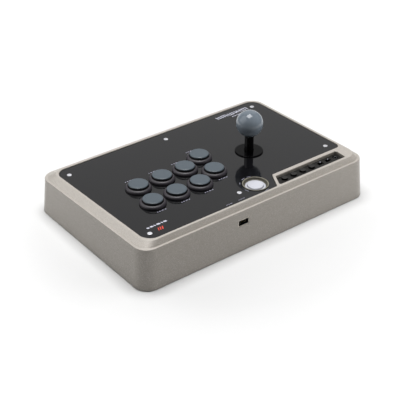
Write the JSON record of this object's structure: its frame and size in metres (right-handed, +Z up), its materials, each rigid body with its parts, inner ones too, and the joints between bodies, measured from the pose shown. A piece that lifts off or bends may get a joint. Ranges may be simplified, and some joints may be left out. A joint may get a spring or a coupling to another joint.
{
  "type": "arcade joystick panel",
  "caption": "Desktop arcade controller: a boxed panel with a ball-top eight-way lever, round push buttons, a home button and a recessed strip of option controls.",
  "frame": {"origin": "on the ground, under the middle of the case (the undersides of the feet are at z = 0)", "axes": "+X to the player's right, +Y away from the player towards the back wall with the USB socket, +Z up"},
  "size_m": [0.3618, 0.2303, 0.1142],
  "materials": {
    "case_paint": "satin champagne paint with a fine metallic fleck",
    "panel_acrylic": "high-gloss acrylic, charcoal behind",
    "steel": "zinc plated",
    "bright_steel": "bright nickel plated",
    "button_rim": "satin near-black",
    "button_grey": "semi-gloss blue-grey",
    "black_plastic": "satin black",
    "dark_strip": "matte dark grey",
    "home_ring": "satin champagne",
    "home_white": "semi-gloss white",
    "nylon": "natural nylon",
    "rubber": "matte",
    "circuit_board": "green solder mask",
    "wire": "dull red insulation"
  },
  "bodies": {
    "case": {"top_housing": "case_paint", "base_plate": "black_plastic", "stick_body": "black_plastic", "restrictor_gate": "black_plastic", "headset_jack": "black_plastic", "foot_1": "rubber", "foot_2": "rubber", "foot_3": "rubber", "foot_4": "rubber", "panel_cover": "panel_acrylic", "mounting_plate": "steel", "stick_mount_plate": "steel", "usb_port": "steel", "panel_screw_1": "bright_steel", "panel_screw_2": "bright_steel", "panel_screw_3": "bright_steel", "panel_screw_4": "bright_steel", "panel_screw_5": "bright_steel", "panel_screw_6": "bright_steel", "button_housing_1": "button_rim", "button_housing_2": "button_rim", "button_housing_3": "button_rim", "button_housing_4": "button_rim", "button_housing_5": "button_rim", "button_housing_6": "button_rim", "button_housing_7": "button_rim", "button_housing_8": "button_rim", "home_bezel": "home_ring", "home_housing": "home_white", "strip_panel": "dark_strip", "strip_board": "circuit_board", "main_board": "circuit_board", "switch_board": "circuit_board", "lever_harness": "wire", "strip_harness": "wire"},
    "gimbal": {"gimbal_ring": "nylon"},
    "lever": {"lever_pivot": "nylon", "centring_spring": "bright_steel", "actuator": "nylon"},
    "stick": {"lever_shaft": "bright_steel", "shaft_cover": "black_plastic", "ball_top": "button_grey", "e_clip": "steel"},
    "washer_guide": {"inner_dust_washer": "black_plastic"},
    "washer": {"dust_washer": "black_plastic"},
    "button_1": {"button_plunger_1": "button_grey"},
    "button_2": {"button_plunger_2": "button_grey"},
    "button_3": {"button_plunger_3": "button_grey"},
    "button_4": {"button_plunger_4": "button_grey"},
    "button_5": {"button_plunger_5": "button_grey"},
    "button_6": {"button_plunger_6": "button_grey"},
    "button_7": {"button_plunger_7": "button_grey"},
    "button_8": {"button_plunger_8": "button_grey"},
    "home_button": {"home_plunger": "home_white"},
    "option_button_1": {"strip_button_1": "black_plastic"},
    "option_button_2": {"strip_button_2": "black_plastic"},
    "option_button_3": {"strip_button_3": "black_plastic"},
    "option_button_4": {"strip_button_4": "black_plastic"},
    "option_switch_1": {"slide_switch_knob_1": "black_plastic"},
    "option_switch_2": {"slide_switch_knob_2": "black_plastic"}
  },
  "joints": [
    {"name": "lever_tilt_fore_aft", "type": "hinge", "parent": "case", "child": "gimbal", "pos_m": [-0.0652, 0.00921, 0.03465], "axis": [1, 0, 0], "range_deg": [-8.5, 8.5], "stiffness_Nm_per_rad": 0.6},
    {"name": "lever_tilt_sideways", "type": "hinge", "parent": "gimbal", "child": "lever", "pos_m": [-0.0652, 0.00921, 0.03465], "axis": [0, 0.9995, 0.03], "range_deg": [-8.5, 8.5], "stiffness_Nm_per_rad": 0.6},
    {"name": "lever_spin", "type": "hinge", "parent": "lever", "child": "stick", "pos_m": [-0.0652, 0.00921, 0.03465], "axis": [0, -0.03, 0.9995], "continuous": true},
    {"name": "washer_slide_x", "type": "slide", "parent": "case", "child": "washer_guide", "axis": [1, 0, 0], "range_m": [-0.0035, 0.0035]},
    {"name": "washer_slide_y", "type": "slide", "parent": "washer_guide", "child": "washer", "axis": [0, 0.9995, 0.03], "range_m": [-0.0035, 0.0035]},
    {"name": "button_press_1", "type": "slide", "parent": "case", "child": "button_1", "axis": [0, 0.03, -0.9995], "range_m": [0, 0.003], "stiffness_N_per_m": 150, "springref_m": -0.003},
    {"name": "button_press_2", "type": "slide", "parent": "case", "child": "button_2", "axis": [0, 0.03, -0.9995], "range_m": [0, 0.003], "stiffness_N_per_m": 150, "springref_m": -0.003},
    {"name": "button_press_3", "type": "slide", "parent": "case", "child": "button_3", "axis": [0, 0.03, -0.9995], "range_m": [0, 0.003], "stiffness_N_per_m": 150, "springref_m": -0.003},
    {"name": "button_press_4", "type": "slide", "parent": "case", "child": "button_4", "axis": [0, 0.03, -0.9995], "range_m": [0, 0.003], "stiffness_N_per_m": 150, "springref_m": -0.003},
    {"name": "button_press_5", "type": "slide", "parent": "case", "child": "button_5", "axis": [0, 0.03, -0.9995], "range_m": [0, 0.003], "stiffness_N_per_m": 150, "springref_m": -0.003},
    {"name": "button_press_6", "type": "slide", "parent": "case", "child": "button_6", "axis": [0, 0.03, -0.9995], "range_m": [0, 0.003], "stiffness_N_per_m": 150, "springref_m": -0.003},
    {"name": "button_press_7", "type": "slide", "parent": "case", "child": "button_7", "axis": [0, 0.03, -0.9995], "range_m": [0, 0.003], "stiffness_N_per_m": 150, "springref_m": -0.003},
    {"name": "button_press_8", "type": "slide", "parent": "case", "child": "button_8", "axis": [0, 0.03, -0.9995], "range_m": [0, 0.003], "stiffness_N_per_m": 150, "springref_m": -0.003},
    {"name": "home_press", "type": "slide", "parent": "case", "child": "home_button", "axis": [0, 0.03, -0.9995], "range_m": [0, 0.002], "stiffness_N_per_m": 200, "springref_m": -0.002},
    {"name": "option_press_1", "type": "slide", "parent": "case", "child": "option_button_1", "axis": [0, 0.03, -0.9995], "range_m": [0, 0.001], "stiffness_N_per_m": 300, "springref_m": -0.001},
    {"name": "option_press_2", "type": "slide", "parent": "case", "child": "option_button_2", "axis": [0, 0.03, -0.9995], "range_m": [0, 0.001], "stiffness_N_per_m": 300, "springref_m": -0.001},
    {"name": "option_press_3", "type": "slide", "parent": "case", "child": "option_button_3", "axis": [0, 0.03, -0.9995], "range_m": [0, 0.001], "stiffness_N_per_m": 300, "springref_m": -0.001},
    {"name": "option_press_4", "type": "slide", "parent": "case", "child": "option_button_4", "axis": [0, 0.03, -0.9995], "range_m": [0, 0.001], "stiffness_N_per_m": 300, "springref_m": -0.001},
    {"name": "option_slide_1", "type": "slide", "parent": "case", "child": "option_switch_1", "axis": [1, 0, 0], "range_m": [-0.002, 0.002]},
    {"name": "option_slide_2", "type": "slide", "parent": "case", "child": "option_switch_2", "axis": [1, 0, 0], "range_m": [-0.002, 0.002]}
  ],
  "couplings": [
    {"joint": "washer_slide_x", "follows": "lever_tilt_sideways", "m_per_rad": 0.0229},
    {"joint": "washer_slide_y", "follows": "lever_tilt_fore_aft", "m_per_rad": -0.0229}
  ]
}
